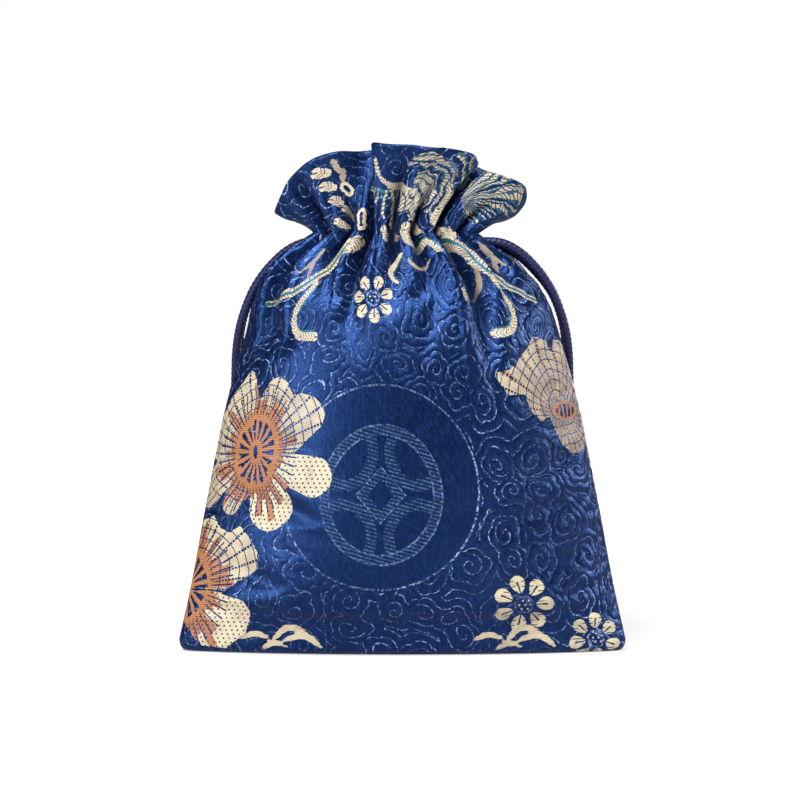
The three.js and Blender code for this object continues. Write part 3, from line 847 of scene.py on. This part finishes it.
def openCurve(points, step):  # a smooth line through points, evenly spaced
    points = np.array(points, float)
    way = np.concatenate([[0], np.cumsum(np.linalg.norm(np.diff(points, axis=0), axis=1) ** 0.5)])
    fine = np.linspace(0, way[-1], 40 * len(points))
    dense = np.column_stack([smoothThrough(fine, list(zip(way, points[:, k]))) for k in range(3)])
    run = np.concatenate([[0], np.cumsum(np.linalg.norm(np.diff(dense, axis=0), axis=1))])
    even = np.linspace(0, run[-1], max(3, int(run[-1] / step)))
    return np.column_stack([np.interp(even, run, dense[:, k]) for k in range(3)]), run[-1]


def braidTube(name, path, look, cap=True):  # a round cord with the ridges of its braid
    along = np.gradient(path, axis=0)
    along /= np.linalg.norm(along, axis=1, keepdims=True)
    side = np.cross(along[0], [0, 1, 0.3])
    side /= np.linalg.norm(side)
    sides = [side]
    for k in range(1, len(path)):
        side = side - along[k] * side.dot(along[k])
        side = side / np.linalg.norm(side)
        sides.append(side)
    sides = np.array(sides)
    other = np.cross(along, sides)
    angle = np.arange(look["sides"]) / look["sides"] * 2 * math.pi
    run = np.concatenate([[0], np.cumsum(np.linalg.norm(np.diff(path, axis=0), axis=1))])
    twist = 2 * math.pi * run[:, None] / look["lay"] * look["strands"]
    around = look["strands"] * angle[None]
    ridge = np.maximum(np.cos(around + twist), np.cos(around - twist))  # strands of both hands
    radius = look["diameter"] / 2 * (0.86 + 0.14 * ridge)
    if cap:
        for k, share in enumerate((0.25, 0.7, 0.92)):
            radius[-1 - k] *= share
            radius[k] *= share
    cosine, sine = np.cos(angle)[None, :, None], np.sin(angle)[None, :, None]
    rings = path[:, None] + radius[:, :, None] * (cosine * sides[:, None] + sine * other[:, None])
    points = rings.reshape(-1, 3)
    index = np.arange(len(points)).reshape(len(path), -1)
    faces = gridFaces(index).tolist() + [index[0][::-1].tolist(), index[-1].tolist()]
    piece = addMesh(name, points, faces)
    heights = piece.data.attributes.new("ridge", "FLOAT", "POINT")
    heights.data.foreach_set("value", ridge.astype(np.float32).ravel())
    return piece


def cordMaterial(look):
    material, tree, shader = newMaterial("braidedCord")
    put, num, _, tint, spread, _, _, cloud, bumps = shaderTools(tree)
    ridge = tree.nodes.new("ShaderNodeAttribute")
    ridge.attribute_name = "ridge"
    place = tree.nodes.new("ShaderNodeTexCoord")
    fibre = cloud(place.outputs["Object"], 2600.0, 2.0, 0.7)
    # painted shade: the grooves between the braid's strands are painted darker than its ridges
    low = tuple(0.3 * v for v in look["colour"])
    high = tuple(1.7 * v for v in look["colour"])
    base = tint(spread(-0.2, 0.9, ridge.outputs["Fac"]), low, look["colour"])
    put(shader.inputs["Base Color"], tint(num("MULTIPLY", spread(0.45, 0.75, fibre), 0.7), base, high))
    put(shader.inputs["Roughness"], 0.36)
    put(shader.inputs["Specular IOR Level"], 0.7)
    put(shader.inputs["Specular Tint"], (0.5, 0.52, 1.0, 1))
    put(shader.inputs["Normal"], bumps(fibre, 0.5, 0.0001))
    return material


braided = cordMaterial(cordLook)
turn = np.linspace(0, 2 * math.pi, 160)
trefoil = np.column_stack([np.sin(turn) + 2 * np.sin(2 * turn), 0.9 * (np.cos(turn) - 2 * np.cos(2 * turn)),
                           -1.5 * np.sin(3 * turn)])  # the turns of an overhand knot
apart = cordLook["strandApart"]
for side, hand, node in ((-1, "left", "left_drawstring"), (1, "right", "right_drawstring")):
    mouth = cordLook["casingHalfWidth"] + side * pouchLook["neckShift"]
    height = cordLook["casingHeights"][side]
    centres = []
    strands = []
    for label, route, across in (("Front", frontStrand, -apart), ("Back", backStrand, apart)):
        line = [(mouth - 4.4, across, height), (mouth - 0.4, across, cordLook["mouthHeight"])] + route
        line = [(side * px, py, pz) for px, py, pz in line]
        path, length = openCurve(line, cordLook["step"])
        strand = braidTube(hand + label + "Strand", path, cordLook)
        strand.data.materials.append(braided)
        strands.append((strand, path, length, line[1]))
        centres.append(np.array(line[-2]))
    middle = (centres[0] + centres[1]) / 2
    knotPath = middle + trefoil * np.array(cordLook["knotSize"])
    knot = braidTube(hand + "Knot", knotPath, cordLook, cap=False)
    knot.data.materials.append(braided)
    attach(knot, "root")
    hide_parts(node)
    for i, (strand, path, length, leave) in enumerate(strands):
        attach(strand, "root")
        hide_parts(node)
        tuple(v * mm for v in leave)
print("cords made")

cameraLook = {"sensor": 36, "distance": 1.2, "elevation": 2.0, "frameWidth": 0.2, "aim": (-0.0006, 0, 0.0627)}
cameraData = bpy.data.cameras.new("camera")
cameraData.lens = cameraLook["sensor"] * cameraLook["distance"] / cameraLook["frameWidth"]
camera = bpy.data.objects.new("camera", cameraData)
tilt = math.radians(cameraLook["elevation"])
camera.location = (cameraLook["aim"][0], -cameraLook["distance"] * math.cos(tilt),
                   cameraLook["aim"][2] + cameraLook["distance"] * math.sin(tilt))
camera.rotation_euler = (math.radians(90) - tilt, 0, 0)
bpy.context.collection.objects.link(camera)
bpy.context.scene.camera = camera

stageLook = {  # metres and watts
    "floorLift": 0.5,  # how white the floor is under the pouch
    "roomLight": 0.05,
    "aim": (0, 0, 0.06),
    "lights": [  # name, place, size, power
        ("keyLight", (-0.85, -0.8, 0.16), 0.35, 5.0),
        ("fillLight", (0.95, 0.05, 0.35), 0.35, 4.2),
        ("topLight", (0.12, -0.25, 0.9), 0.3, 0.8),
        ("frontLight", (-0.2, -1.05, 1.05), 0.6, 22.4),
        ("backLight", (0.35, 1.2, 0.3), 0.6, 6.0),
    ],
}
bpy.ops.mesh.primitive_plane_add(size=6, location=(0, 0, -0.0002))
floor = bpy.context.active_object
floor.name = "floor"
floorMaterial, floorTree, floorShader = newMaterial("floorWhite")
put, num, blend, _, spread, *_ = shaderTools(floorTree)
for name, value in (("Base Color", (0.6, 0.6, 0.6, 1)), ("Roughness", 0.9), ("Specular IOR Level", 0.0),
                    ("Emission Color", (1, 1, 1, 1))):
    put(floorShader.inputs[name], value)
seen = floorTree.nodes.new("ShaderNodeLightPath")
floorPlace = floorTree.nodes.new("ShaderNodeTexCoord")
fromPouch = floorTree.nodes.new("ShaderNodeVectorMath")
fromPouch.operation = "LENGTH"
put(fromPouch.inputs[0], floorPlace.outputs["Object"])
lift = blend(spread(0.1, 0.6, fromPouch.outputs["Value"]), stageLook["floorLift"], 1.0)  # whiter outwards
put(floorShader.inputs["Emission Strength"], num("MULTIPLY", lift, seen.outputs["Is Camera Ray"]))
floor.data.materials.append(floorMaterial)

for name, place, size, watts in stageLook["lights"]:
    lampData = bpy.data.lights.new(name, "AREA")
    lampData.size = size
    lampData.energy = watts
    lamp = bpy.data.objects.new(name, lampData)
    lamp.location = place
    direction = -np.array(place) + np.array(stageLook["aim"])
    lamp.rotation_euler = (math.atan2(math.hypot(direction[0], direction[1]), -direction[2]), 0,
                           math.atan2(-direction[0], direction[1]))
    bpy.context.collection.objects.link(lamp)

world = bpy.data.worlds.new("studio")
world.use_nodes = True
studio = world.node_tree
put, _, blend, *_ = shaderTools(studio)
background = studio.nodes["Background"]
lightPath = studio.nodes.new("ShaderNodeLightPath")
put(background.inputs["Color"], (1, 1, 1, 1))
put(background.inputs["Strength"], blend(lightPath.outputs["Is Camera Ray"], stageLook["roomLight"], 1.0))
bpy.context.scene.world = world
bpy.context.scene.view_settings.view_transform = "Standard"
print("studio made")
